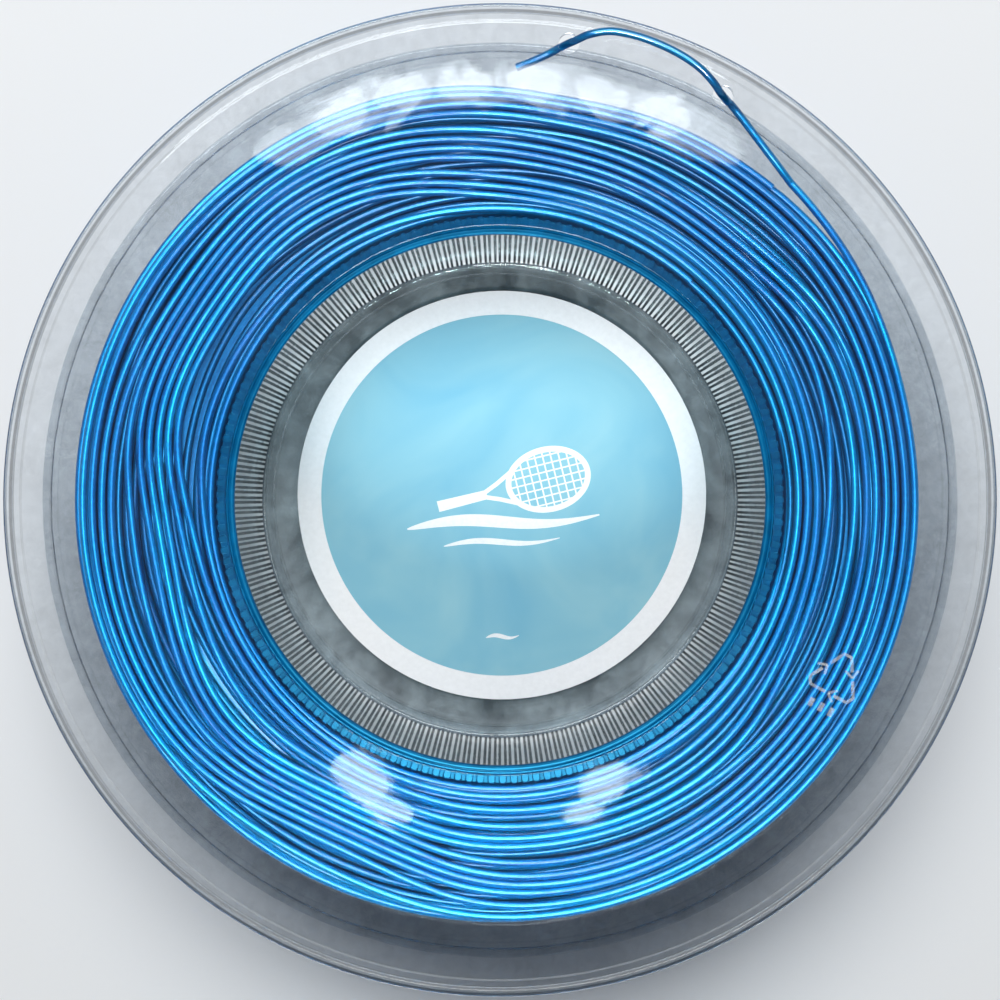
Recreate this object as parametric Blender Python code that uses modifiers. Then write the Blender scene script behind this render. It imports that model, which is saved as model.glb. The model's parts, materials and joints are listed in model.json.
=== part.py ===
"""A clear plastic reel wound with racket string, lying on its back flange.

The reel's axis is +Z, and the origin is the middle of the base. Metres.
Three clear mouldings make the reel: a front flange, a ribbed core cup whose floor carries
the label, and a back flange whose collar plugs into the core's skirt.
"""

import math

import bmesh
import bpy
from mathutils import Vector

# Reel
FLANGE_RADIUS = 0.0760
REEL_HEIGHT = 0.0464
WEB = 0.0016  # thickness of a flange's flat web
LIP_RISE = 0.0010  # how far the rim lip stands proud of the web
LIP_WIDTH = 0.0015
LIP_FLAT = 0.0005  # flat crest of the lip
EDGE_ROUND = 0.0005
GAP = 0.0003  # clearance where one piece rests on another

# Core cup
RIB_COUNT = 157
RIB_TIP_RADIUS = 0.0436
RIB_ROOT_RADIUS = 0.0413
RIB_SHARE = 0.6  # share of a pitch that is rib
SPIGOT_RADIUS = 0.0417  # the core's end inside the front flange's opening
MOUTH_RADIUS = 0.0406
FLOOR_RADIUS = 0.03895  # the cup's inner radius where it meets its floor
FLOOR_TOP = 0.0090
FLOOR = 0.0016
SKIRT_RADIUS = 0.0389  # bore of the core's skirt below the floor
MOUTH_FLARE = 0.0004

# Back flange's collar
COLLAR_RADIUS = SKIRT_RADIUS - GAP
COLLAR_WALL = 0.0014
COLLAR_TOP = FLOOR_TOP - FLOOR - 0.0004

# String
STRING_DIAMETER = 0.00125
COIL_INNER_RADIUS = RIB_TIP_RADIUS + GAP
COIL_OUTER_RADIUS = 0.0655
COIL_ROUND = 0.0010

# Holes in the front flange that hold the string's end
HOLE_RADIUS = 0.0016
HOLE_CIRCLE = 0.07064
HOLE_BEARINGS = (8.6, 28.9)  # degrees from +Y towards +X

# Label
LABEL_RADIUS = 0.0335
LABEL_THICKNESS = 0.0003

# Heights that follow
BACK_FACE = LIP_RISE
BACK_INNER = BACK_FACE + WEB
FRONT_FACE = REEL_HEIGHT - LIP_RISE
FRONT_INNER = FRONT_FACE - WEB
FRONT_OPENING = SPIGOT_RADIUS + GAP

STEPS = 64  # facets of a turned piece
ARC_STEPS = 3  # facets of a quarter round in a profile
HOLE_STEPS = 20  # facets of a string hole
BEYOND = 0.002  # how far a cutter runs past what it cuts

# The string's end, from the coil's side through both holes to its cut end:
# radius and height in millimetres, bearing in degrees from +Y towards +X.
TAIL_ROUTE = (
    (66.30, 42.6, 41.0),
    (66.80, 40.2, 41.7),
    (67.90, 36.4, 42.1),
    (69.20, 33.1, 42.1),
    (70.15, 30.9, 42.3),
    (70.60, 29.5, 43.5),
    (70.80, 28.4, 45.8),
    (71.50, 27.1, 47.1),
    (72.50, 24.9, 47.5),
    (73.20, 22.2, 47.5),
    (73.60, 19.2, 47.4),
    (73.70, 16.2, 47.4),
    (73.40, 13.3, 47.4),
    (72.30, 10.9, 47.1),
    (71.15, 9.3, 45.9),
    (70.45, 8.0, 43.6),
    (69.30, 6.6, 42.4),
    (67.90, 4.6, 42.1),
    (66.65, 2.2, 41.6),
)
TAIL_SPACING = 0.00125  # between the points read from the smooth curve
ROUTE_STEPS = 40  # steps of the smooth curve between two points of the route
MILLIMETRE = 0.001


def make_material(name, colour, roughness, alpha=1.0, metallic=0.0, transmission=0.0):
    material = bpy.data.materials.new(name)
    material.use_nodes = True
    shader = material.node_tree.nodes["Principled BSDF"]
    shader.inputs["Base Color"].default_value = (*colour, 1.0)
    shader.inputs["Roughness"].default_value = roughness
    shader.inputs["Metallic"].default_value = metallic
    shader.inputs["Alpha"].default_value = alpha
    shader.inputs["Transmission Weight"].default_value = transmission
    material.diffuse_color = (*colour, alpha)
    return material


def make_collection(name):
    collection = bpy.data.collections.new(name)
    bpy.context.scene.collection.children.link(collection)
    return collection


def arc(centre, radii, start, end):
    """Profile points (radius, height) of a quarter round, both ends included, in degrees."""
    points = []
    for step in range(ARC_STEPS + 1):
        angle = math.radians(start + (end - start) * step / ARC_STEPS)
        points.append((centre[0] + radii[0] * math.cos(angle), centre[1] + radii[1] * math.sin(angle)))
    return points


def turned(name, profile, collection, closed=True):
    """A profile of (radius, height) points turned about Z, running down its outer side."""
    mesh = bpy.data.meshes.new(name)
    count = len(profile)
    edges = [(i, (i + 1) % count) for i in range(count if closed else count - 1)]
    mesh.from_pydata([(radius, 0.0, height) for radius, height in profile], edges, [])
    piece = bpy.data.objects.new(name, mesh)
    collection.objects.link(piece)
    screw = piece.modifiers.new("Turn", "SCREW")
    screw.axis = "Z"
    screw.angle = math.tau
    screw.steps = STEPS
    screw.render_steps = STEPS
    screw.use_merge_vertices = True
    screw.merge_threshold = 0.00001
    screw.use_smooth_shade = True
    return piece


def as_cutter(piece):
    piece.hide_render = True
    piece.display_type = "WIRE"
    return piece


def cut(piece, cutter, name):
    boolean = piece.modifiers.new(name, "BOOLEAN")
    boolean.operation = "DIFFERENCE"
    boolean.solver = "EXACT"
    boolean.object = cutter


def on_bearing(radius, bearing, height):
    """The point at a radius and a bearing, in degrees from +Y towards +X."""
    angle = math.radians(bearing)
    return Vector((radius * math.sin(angle), radius * math.cos(angle), height))


def lip_profile(face, outward):
    """The rim from the web's outer face round to its inner face, for a face that looks outward."""
    inner_edge = FLANGE_RADIUS - LIP_WIDTH
    side = (LIP_WIDTH - LIP_FLAT) / 2
    lip = arc((inner_edge + side, face), (side, outward * LIP_RISE), 180, 90)
    lip += arc((FLANGE_RADIUS - side, face), (side, outward * LIP_RISE), 90, 0)
    corner = (FLANGE_RADIUS - EDGE_ROUND, face - outward * (WEB - EDGE_ROUND))
    lip += arc(corner, (EDGE_ROUND, -outward * EDGE_ROUND), 0, 90)
    return lip


def make_front_flange(parts, cutters):
    profile = [(FRONT_OPENING, FRONT_FACE)]
    profile += lip_profile(FRONT_FACE, 1)
    profile += [(FRONT_OPENING, FRONT_INNER)]
    flange = turned("front_flange", profile, parts)
    for number, bearing in enumerate(HOLE_BEARINGS, 1):
        bpy.ops.mesh.primitive_cylinder_add(
            vertices=HOLE_STEPS,
            radius=HOLE_RADIUS,
            depth=WEB + 2 * BEYOND,
            location=on_bearing(HOLE_CIRCLE, bearing, FRONT_FACE - WEB / 2),
        )
        hole = as_cutter(bpy.context.active_object)
        hole.name = f"string_hole_{number}"
        move_to(hole, cutters)
        cut(flange, hole, f"String hole {number}")
    return flange


def make_back_flange(parts):
    bore = COLLAR_RADIUS - COLLAR_WALL
    profile = [(bore, COLLAR_TOP)]
    profile += arc((COLLAR_RADIUS - EDGE_ROUND, COLLAR_TOP - EDGE_ROUND), (EDGE_ROUND, EDGE_ROUND), 90, 0)
    profile += [(COLLAR_RADIUS, BACK_INNER)]
    profile += reversed(lip_profile(BACK_FACE, -1))
    profile += [(bore + EDGE_ROUND, BACK_FACE), (bore, BACK_FACE + EDGE_ROUND)]
    return turned("back_flange", profile, parts)


def toothed_outline():
    """The core's outline: straight-sided ribs standing on a round wall."""
    pitch = math.tau / RIB_COUNT
    half_rib = pitch * RIB_SHARE / 2
    points = []
    for rib in range(RIB_COUNT):
        middle = rib * pitch
        for radius, angle in (
            (RIB_ROOT_RADIUS, middle - half_rib),
            (RIB_TIP_RADIUS, middle - half_rib),
            (RIB_TIP_RADIUS, middle + half_rib),
            (RIB_ROOT_RADIUS, middle + half_rib),
        ):
            points.append((radius * math.cos(angle), radius * math.sin(angle)))
    return points


def make_core_cup(parts, cutters):
    bottom = BACK_INNER + GAP
    top = FRONT_FACE
    outline = bpy.data.curves.new("core_outline", "CURVE")
    outline.dimensions = "2D"
    outline.fill_mode = "BOTH"
    outline.extrude = (top - bottom) / 2
    points = toothed_outline()
    spline = outline.splines.new("POLY")
    spline.points.add(len(points) - 1)
    for point, (x, y) in zip(spline.points, points):
        point.co = (x, y, 0.0, 1.0)
    spline.use_cyclic_u = True
    blank = bpy.data.objects.new("core_blank", outline)
    blank.location = (0.0, 0.0, (top + bottom) / 2)
    parts.objects.link(blank)
    core = as_mesh(blank, "core_cup", parts)

    ribs_end = FRONT_INNER - GAP
    shoulder_profile = [
        (SPIGOT_RADIUS, top + BEYOND),
        (RIB_TIP_RADIUS + BEYOND, top + BEYOND),
        (RIB_TIP_RADIUS + BEYOND, ribs_end),
        (SPIGOT_RADIUS, ribs_end),
    ]
    cut(core, as_cutter(turned("shoulder_cutter", shoulder_profile, cutters)), "Shoulder")
    cup_profile = [
        (0.0, top + BEYOND),
        (MOUTH_RADIUS + MOUTH_FLARE, top + BEYOND),
        (MOUTH_RADIUS + MOUTH_FLARE, top),
        (MOUTH_RADIUS, top - MOUTH_FLARE),
        (FLOOR_RADIUS, FLOOR_TOP + EDGE_ROUND),
        (FLOOR_RADIUS - EDGE_ROUND, FLOOR_TOP),
        (0.0, FLOOR_TOP),
    ]
    cut(core, as_cutter(turned("cup_cutter", cup_profile, cutters, closed=False)), "Cup")
    skirt_profile = [
        (0.0, FLOOR_TOP - FLOOR),
        (SKIRT_RADIUS, FLOOR_TOP - FLOOR),
        (SKIRT_RADIUS, bottom - BEYOND),
        (0.0, bottom - BEYOND),
    ]
    cut(core, as_cutter(turned("skirt_cutter", skirt_profile, cutters, closed=False)), "Skirt")
    return core


def make_label(parts):
    bpy.ops.mesh.primitive_cylinder_add(
        vertices=STEPS,
        radius=LABEL_RADIUS,
        depth=LABEL_THICKNESS,
        location=(0.0, 0.0, FLOOR_TOP + GAP + LABEL_THICKNESS / 2),
    )
    label = bpy.context.active_object
    label.name = "front_label"
    label.data.shade_smooth()
    label.data.set_sharp_from_angle(angle=math.radians(30))
    move_to(label, parts)
    return label


def make_string_coil(parts):
    top = FRONT_INNER - GAP
    bottom = BACK_INNER + GAP
    profile = [(COIL_INNER_RADIUS, top)]
    profile += arc((COIL_OUTER_RADIUS - COIL_ROUND, top - COIL_ROUND), (COIL_ROUND, COIL_ROUND), 90, 0)
    profile += arc((COIL_OUTER_RADIUS - COIL_ROUND, bottom + COIL_ROUND), (COIL_ROUND, COIL_ROUND), 0, -90)
    profile += [(COIL_INNER_RADIUS, bottom)]
    return turned("string_coil", profile, parts)


def smooth_route(points, spacing):
    """Evenly spaced points on a smooth curve through the given ones."""
    padded = [2 * points[0] - points[1], *points, 2 * points[-1] - points[-2]]
    fine = []
    for before, start, end, after in zip(padded, padded[1:], padded[2:], padded[3:]):
        for step in range(ROUTE_STEPS):
            t = step / ROUTE_STEPS
            fine.append(
                0.5
                * (
                    2 * start
                    + (end - before) * t
                    + (2 * before - 5 * start + 4 * end - after) * t**2
                    + (3 * start - before - 3 * end + after) * t**3
                )
            )
    fine.append(points[-1])
    lengths = [0.0]
    for start, end in zip(fine, fine[1:]):
        lengths.append(lengths[-1] + (end - start).length)
    count = round(lengths[-1] / spacing)
    even = []
    index = 0
    for step in range(count + 1):
        wanted = lengths[-1] * step / count
        while index < len(lengths) - 2 and lengths[index + 1] < wanted:
            index += 1
        share = (wanted - lengths[index]) / (lengths[index + 1] - lengths[index])
        even.append(fine[index].lerp(fine[index + 1], share))
    return even


def make_string_tail(parts):
    route = [
        on_bearing(radius * MILLIMETRE, bearing, height * MILLIMETRE)
        for radius, bearing, height in TAIL_ROUTE
    ]
    points = smooth_route(route, TAIL_SPACING)
    curve = bpy.data.curves.new("string_tail", "CURVE")
    curve.dimensions = "3D"
    curve.bevel_depth = STRING_DIAMETER / 2
    curve.bevel_resolution = 2
    curve.use_fill_caps = True
    spline = curve.splines.new("POLY")
    spline.points.add(len(points) - 1)
    for point, place in zip(spline.points, points):
        point.co = (*place, 1.0)
    tail = bpy.data.objects.new("string_tail", curve)
    parts.objects.link(tail)
    return tail


def as_mesh(piece, name, collection):
    """A closed mesh copy of a curve object, which it replaces."""
    graph = bpy.context.evaluated_depsgraph_get()
    mesh = bpy.data.meshes.new_from_object(piece.evaluated_get(graph))
    work = bmesh.new()
    work.from_mesh(mesh)
    bmesh.ops.remove_doubles(work, verts=work.verts, dist=0.00001)
    work.to_mesh(mesh)
    work.free()
    copy = bpy.data.objects.new(name, mesh)
    copy.matrix_world = piece.matrix_world.copy()
    collection.objects.link(copy)
    bpy.data.objects.remove(piece)
    return copy


def move_to(piece, collection):
    for holder in list(piece.users_collection):
        holder.objects.unlink(piece)
    collection.objects.link(piece)


def dress(piece, material):
    piece.data.materials.clear()
    piece.data.materials.append(material)


def main():
    for old in list(bpy.data.objects):
        bpy.data.objects.remove(old)
    parts = make_collection("string_reel")
    cutters = make_collection("cutters")
    clear = {"roughness": 0.05, "alpha": 0.35, "transmission": 0.9}
    flange_plastic = make_material("clear_flange", (0.86, 0.89, 0.91), **clear)
    core_plastic = make_material("clear_core", (0.80, 0.83, 0.85), **clear)
    back_plastic = make_material("clear_back_flange", (0.84, 0.87, 0.89), **clear)
    label_print = make_material("label_print", (0.45, 0.80, 0.88), 0.35)
    string_blue = make_material("string_blue", (0.01, 0.25, 0.62), 0.2, metallic=0.3)
    tail_blue = make_material("string_end_blue", (0.01, 0.27, 0.64), 0.2, metallic=0.3)
    dress(make_back_flange(parts), back_plastic)
    dress(make_core_cup(parts, cutters), core_plastic)
    dress(make_front_flange(parts, cutters), flange_plastic)
    dress(make_label(parts), label_print)
    dress(make_string_coil(parts), string_blue)
    dress(make_string_tail(parts), tail_blue)


main()
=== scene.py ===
"""Looks for the string reel: clear mouldings, a wound pearl-blue string, and a printed label."""

import json
import math
import random

import bmesh
import bpy
import numpy as np
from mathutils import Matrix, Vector

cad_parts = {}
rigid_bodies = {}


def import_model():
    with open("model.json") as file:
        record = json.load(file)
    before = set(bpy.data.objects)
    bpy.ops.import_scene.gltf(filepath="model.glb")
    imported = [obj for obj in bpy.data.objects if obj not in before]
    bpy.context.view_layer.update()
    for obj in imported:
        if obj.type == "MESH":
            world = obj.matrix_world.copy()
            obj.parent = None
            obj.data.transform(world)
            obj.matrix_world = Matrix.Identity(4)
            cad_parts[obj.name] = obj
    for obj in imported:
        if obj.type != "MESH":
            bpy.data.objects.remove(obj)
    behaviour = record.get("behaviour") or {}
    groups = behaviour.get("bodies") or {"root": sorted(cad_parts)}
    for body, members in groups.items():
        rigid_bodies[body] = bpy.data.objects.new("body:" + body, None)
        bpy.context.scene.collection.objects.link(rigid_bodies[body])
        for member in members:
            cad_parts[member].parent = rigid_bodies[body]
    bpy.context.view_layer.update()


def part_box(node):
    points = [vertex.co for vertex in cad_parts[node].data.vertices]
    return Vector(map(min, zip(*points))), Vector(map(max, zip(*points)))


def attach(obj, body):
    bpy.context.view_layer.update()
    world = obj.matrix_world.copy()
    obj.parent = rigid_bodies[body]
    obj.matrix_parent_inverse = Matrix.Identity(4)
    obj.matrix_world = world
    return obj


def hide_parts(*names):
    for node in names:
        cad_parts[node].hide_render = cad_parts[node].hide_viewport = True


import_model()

MM = 0.001
TAU = math.tau
GAP = 0.3 * MM  # clearance where one piece rests on another
BACK_BODY = "back_half"
WOUND_BODY = "wound_half"

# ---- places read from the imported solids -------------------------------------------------

FRONT_LOW, FRONT_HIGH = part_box("front_flange")
BACK_LOW, BACK_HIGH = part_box("back_flange")
CORE_LOW, CORE_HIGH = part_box("core_cup")
COIL_LOW, COIL_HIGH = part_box("string_coil")
LABEL_LOW, LABEL_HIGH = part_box("front_label")

RADIUS = FRONT_HIGH.x
FRONT_CREST = FRONT_HIGH.z
FRONT_INNER = FRONT_LOW.z
FRONT_FACE = CORE_HIGH.z
LIP_RISE = FRONT_CREST - FRONT_FACE
WEB = FRONT_FACE - FRONT_INNER
BACK_CREST = BACK_LOW.z
BACK_FACE = BACK_CREST + LIP_RISE
BACK_INNER = BACK_FACE + WEB
COLLAR_TOP = BACK_HIGH.z
RIB_TIP = CORE_HIGH.x
COIL_TOP = COIL_HIGH.z
COIL_BOTTOM = COIL_LOW.z
COIL_RADIUS = COIL_HIGH.x
LABEL_RADIUS = LABEL_HIGH.x

# ---- sizes that a box doesn't give ------------------------------------------------------

LIP_WIDTH = 1.5 * MM
LIP_FLAT = 0.5 * MM
LIP_STEP = 2.55 * MM  # from the rim to a shallow step in the web
EDGE_ROUND = 0.5 * MM
CORNER_STEPS = 4  # facets of a small rounded edge
RIB_COUNT = 157
RIB_ROOT = RIB_TIP - 2.3 * MM
RIB_SHARE = 0.6
SPIGOT = 41.7 * MM
FRONT_OPENING = 42.0 * MM
MOUTH = 40.6 * MM
FLOOR_RADIUS = 38.95 * MM
FLOOR_TOP = LABEL_LOW.z - GAP
FLOOR = 1.6 * MM
SKIRT = 38.9 * MM
COLLAR_OUTER = SKIRT - GAP
COLLAR_BORE = COLLAR_OUTER - 1.4 * MM
HOLE_RADIUS = 1.6 * MM
HOLE_CIRCLE = 70.64 * MM
HOLE_BEARINGS = (8.6, 28.9)
STRING = 1.25 * MM  # its gauge
STRING_RADIUS = STRING / 2
COIL_INNER = RIB_TIP + GAP

# The string's end: radius in millimetres, bearing in degrees from +Y towards +X, height in millimetres.
TAIL_ROUTE = (
    (66.30, 42.6, 41.0),
    (66.80, 40.2, 41.7),
    (67.90, 36.4, 42.1),
    (69.20, 33.1, 42.1),
    (70.15, 30.9, 42.3),
    (70.60, 29.5, 43.5),
    (70.80, 28.4, 45.8),
    (71.50, 27.1, 47.1),
    (72.50, 24.9, 47.5),
    (73.20, 22.2, 47.5),
    (73.60, 19.2, 47.4),
    (73.70, 16.2, 47.4),
    (73.40, 13.3, 47.4),
    (72.30, 10.9, 47.1),
    (71.15, 9.3, 45.9),
    (70.45, 8.0, 43.6),
    (69.30, 6.6, 42.4),
    (67.90, 4.6, 42.1),
    (66.65, 2.2, 41.6),
)

# ---- camera -----------------------------------------------------------------------------

CAMERA_RISE = 0.497  # above the front rim
CAMERA_LENS = 117.2


def make_camera():
    camera = bpy.data.objects.new("camera", bpy.data.cameras.new("camera"))
    camera.data.lens = CAMERA_LENS
    camera.data.sensor_width = 36.0
    camera.location = (0.0, 0.0, FRONT_CREST + CAMERA_RISE)
    bpy.context.scene.collection.objects.link(camera)
    bpy.context.scene.camera = camera


# ---- node helpers -----------------------------------------------------------------------


class Graph:
    """A material's nodes, made and linked in one call each."""

    def __init__(self, name):
        self.material = bpy.data.materials.new(name)
        self.material.use_nodes = True
        self.nodes = self.material.node_tree.nodes
        self.links = self.material.node_tree.links
        self.shader = self.nodes["Principled BSDF"]
        self.output = self.nodes["Material Output"]

    def add(self, kind, inputs=None, **settings):
        node = self.nodes.new(kind)
        for name, value in settings.items():
            setattr(node, name, value)
        for name, value in (inputs or {}).items():
            self.feed(node.inputs[name], value)
        return node

    def feed(self, socket, value):
        if isinstance(value, bpy.types.NodeSocket):
            self.links.new(value, socket)
        else:
            socket.default_value = value

    def set(self, **values):
        for name, value in values.items():
            self.feed(self.shader.inputs[name.replace("_", " ")], value)

    def coordinates(self):
        return self.add("ShaderNodeTexCoord").outputs["Object"]

    def noise(self, scale, detail=3.0, roughness=0.55, vector=None, distortion=0.0):
        node = self.add(
            "ShaderNodeTexNoise",
            {
                "Vector": vector or self.coordinates(),
                "Scale": scale,
                "Detail": detail,
                "Roughness": roughness,
                "Distortion": distortion,
            },
        )
        return node.outputs["Fac"]

    def ramp(self, value, stops):
        node = self.add("ShaderNodeValToRGB", {"Fac": value})
        elements = node.color_ramp.elements
        while len(elements) < len(stops):
            elements.new(0.5)
        for element, (position, colour) in zip(elements, stops):
            element.position = position
            element.color = colour if len(colour) == 4 else (*colour, 1.0)
        return node.outputs["Color"]

    def range(self, value, low, high, from_low=0.0, from_high=1.0):
        node = self.add(
            "ShaderNodeMapRange",
            {"Value": value, "From Min": from_low, "From Max": from_high, "To Min": low, "To Max": high},
        )
        return node.outputs["Result"]

    def math(self, operation, first, second=0.0):
        node = self.add("ShaderNodeMath", operation=operation)
        self.feed(node.inputs[0], first)
        self.feed(node.inputs[1], second)
        return node.outputs[0]

    def radius(self):
        """Distance from the reel's axis."""
        split = self.add("ShaderNodeSeparateXYZ", {"Vector": self.coordinates()})
        x_squared = self.math("POWER", split.outputs["X"], 2.0)
        y_squared = self.math("POWER", split.outputs["Y"], 2.0)
        return self.math("SQRT", self.math("ADD", x_squared, y_squared))

    def bump(self, height, strength, distance, normal=None):
        node = self.add("ShaderNodeBump", {"Height": height, "Strength": strength, "Distance": distance})
        if normal:
            self.feed(node.inputs["Normal"], normal)
        return node.outputs["Normal"]


def clear_plastic(name, tint, haze, haze_scale, painted_shade_rings=(), wave=0.0, mottle=0.16):
    """Clear styrene with a little haze, and a surface that waves by a few hundredths of a millimetre.

    haze is the lowest and highest share of light that isn't transmitted.
    """
    g = Graph(name)
    cloud = g.noise(haze_scale, detail=6.0, roughness=0.65, distortion=0.4)
    share = g.range(cloud, 1.0 - haze[0], 1.0 - haze[1], 0.3, 0.7)
    scratch = g.noise(1.0, detail=2.0, vector=ring_vector(g))
    surface = g.bump(scratch, 0.04, 0.00001)
    if wave:
        surface = g.bump(g.noise(70.0, detail=2.0, distortion=0.5), 1.0, wave, surface)
    g.set(
        Base_Color=ring_tint(g, tint, painted_shade_rings, mottle),
        IOR=1.52,
        Transmission_Weight=share,
        Roughness=g.range(scratch, 0.01, 0.04, 0.35, 0.75),
        Normal=surface,
    )
    pass_light(g, tint)
    return g.material


def ring_tint(g, tint, painted_shade_rings, mottle):
    """The plastic's tint with faint clouds, darker in thin rings of painted shade where a fillet bends the
    light away.
    """
    fine = g.noise(520.0, detail=4.0, roughness=0.7, distortion=0.6)
    coarse = g.noise(110.0, detail=2.0)
    cloud = g.math("ADD", g.math("MULTIPLY", fine, 0.65), g.math("MULTIPLY", coarse, 0.35))
    shade = g.range(cloud, 1.0 - mottle, 1.0, 0.34, 0.62)
    radius = g.radius()
    # Painted shade: each ring darkens the tint where a rounded edge would bend the light away.
    for centre, half_width, depth in painted_shade_rings:
        off = g.math("ABSOLUTE", g.math("SUBTRACT", radius, centre))
        ring = g.range(off, 1.0 - depth, 1.0, half_width * 0.5, half_width)
        shade = g.math("MULTIPLY", ring, shade)
    mix = g.add("ShaderNodeMix", data_type="RGBA")
    g.feed(mix.inputs[0], shade)
    g.feed(mix.inputs[6], (0.0, 0.0, 0.0, 1.0))
    g.feed(mix.inputs[7], (*tint, 1.0))
    return mix.outputs[2]


def ring_vector(g):
    """Coordinates that stretch a texture into fine rings round the reel's axis."""
    scaled = g.math("MULTIPLY", g.radius(), 2600.0)
    split = g.add("ShaderNodeSeparateXYZ", {"Vector": g.coordinates()})
    joined = g.add(
        "ShaderNodeCombineXYZ",
        {
            "X": scaled,
            "Y": g.math("MULTIPLY", split.outputs["X"], 14.0),
            "Z": g.math("MULTIPLY", split.outputs["Y"], 14.0),
        },
    )
    return joined.outputs["Vector"]


def pass_light(g, tint):
    """Lets lamps shine through the plastic, as light does through a clear sheet."""
    see_through = g.add("ShaderNodeBsdfTransparent", {"Color": (*(0.5 + 0.5 * c for c in tint), 1.0)})
    path = g.add("ShaderNodeLightPath")
    passing = g.math("MAXIMUM", path.outputs["Is Shadow Ray"], path.outputs["Is Diffuse Ray"])
    mix = g.add("ShaderNodeMixShader", {"Fac": passing})
    g.links.new(g.shader.outputs["BSDF"], mix.inputs[1])
    g.links.new(see_through.outputs["BSDF"], mix.inputs[2])
    g.links.new(mix.outputs["Shader"], g.output.inputs["Surface"])


def wall_material():
    """The cup's inner wall: lines of painted highlight with painted shade in the grooves between, two lines
    to each rib, for the light that the clear fluted wall reflects and bends.
    """
    g = Graph("core_wall_painted_glints_and_shade")
    split = g.add("ShaderNodeSeparateXYZ", {"Vector": g.coordinates()})
    bearing = g.math("ARCTAN2", split.outputs["Y"], split.outputs["X"])
    single = g.math("COSINE", g.math("MULTIPLY", bearing, float(RIB_COUNT)))
    double = g.math("COSINE", g.math("MULTIPLY", bearing, 2.0 * RIB_COUNT))
    grain = g.noise(500.0, detail=4.0, roughness=0.7)
    broad = g.noise(30.0, detail=1.0)
    coarse = g.math("MULTIPLY", single, 0.28)
    fine = g.math("MULTIPLY", double, g.range(broad, 0.35, 1.0))
    wave = g.math("ADD", coarse, fine)
    glint_and_shade = g.math("ADD", wave, g.math("MULTIPLY", g.math("SUBTRACT", grain, 0.5), 1.1))
    # Painted highlights on the lines and painted shade in the grooves, from near black to white.
    colour = g.ramp(
        g.range(glint_and_shade, 0.0, 1.0, -1.0, 1.0),
        ((0.40, (0.002, 0.003, 0.004)), (0.52, (0.42, 0.45, 0.48)), (0.64, (1.0, 1.0, 1.0))),
    )
    g.set(Base_Color=colour, IOR=1.52, Roughness=0.2, Transmission_Weight=0.12)
    pass_light(g, (0.9, 0.93, 0.95))
    return g.material


def rib_material():
    """The core's ribs and rim: styrene painted a dark blue, as painted shade between the ribs and the
    string's blue that the clear plastic would bend and scatter, with highlights tinted blue.
    """
    g = Graph("core_rib_painted_blue_shade")
    cloud = g.noise(260.0, detail=4.0, roughness=0.6)
    # Painted blue shade in place of the light seen through the clear ribs.
    g.set(
        Base_Color=g.ramp(cloud, ((0.35, (0.000, 0.030, 0.085)), (0.65, (0.000, 0.058, 0.150)))),
        IOR=1.52,
        Transmission_Weight=g.range(cloud, 0.02, 0.12),
        Specular_IOR_Level=0.30,
        Specular_Tint=(0.10, 0.65, 1.0, 1.0),
        Roughness=0.22,
        Normal=g.bump(cloud, 0.1, 0.00002),
    )
    pass_light(g, (0.5, 0.8, 0.9))
    return g.material


def string_material(name, painted_shade_factor=1.0, shade_fade_x=None):
    """Pearl blue monofilament: a deep blue body with a metallic sheen under a clear skin.

    The sheen changes from turn to turn, as the flat pearl flakes lie differently along the string.
    The second argument scales the colour down as painted shade, for turns that lie under others and for the
    free end;
    the last one is the lowest and highest x between which that painted shade fades out to the full colour.
    """
    g = Graph(name)
    flecks = g.noise(1500.0, detail=3.0, roughness=0.6)
    turns = g.noise(0.32, detail=2.0, roughness=0.7, vector=ring_vector(g))
    blend = g.math("ADD", g.math("MULTIPLY", flecks, 0.2), g.math("MULTIPLY", turns, 0.8))
    # Painted shade: the colour is scaled by a factor below one for shaded copies.
    colour = g.ramp(
        blend,
        (
            (0.34, (0.000, 0.066 * painted_shade_factor, 0.242 * painted_shade_factor)),
            (0.50, (0.000, 0.152 * painted_shade_factor, 0.415 * painted_shade_factor)),
            (0.64, (0.000, 0.275 * painted_shade_factor, 0.570 * painted_shade_factor)),
        ),
    )
    # The painted shade fades out towards the winding, where the free end joins it.
    if shade_fade_x:
        split = g.add("ShaderNodeSeparateXYZ", {"Vector": g.coordinates()})
        paler = g.range(split.outputs["X"], 1.0, 1.0 / painted_shade_factor, *shade_fade_x)
        scaled = g.add("ShaderNodeVectorMath", {"Vector": colour, "Scale": paler}, operation="SCALE")
        colour = scaled.outputs["Vector"]
    g.set(
        Base_Color=colour,
        Metallic=0.62,
        Roughness=g.range(turns, 0.50, 0.34, 0.35, 0.65),
        Specular_Tint=(0.25, 0.75, 1.0, 1.0),
        Coat_Weight=0.85,
        Coat_Roughness=0.12,
        Coat_IOR=1.55,
        Normal=g.bump(flecks, 0.02, 0.00001),
    )
    return g.material


def paper_material():
    g = Graph("label_paper")
    grain = g.noise(1400.0, detail=5.0)
    shade = g.ramp(grain, ((0.3, (0.89, 0.90, 0.90)), (0.7, (0.95, 0.96, 0.96))))
    g.set(Base_Color=shade, Roughness=g.range(grain, 0.55, 0.65), Normal=g.bump(grain, 0.12, 0.00002))
    return g.material


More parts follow.
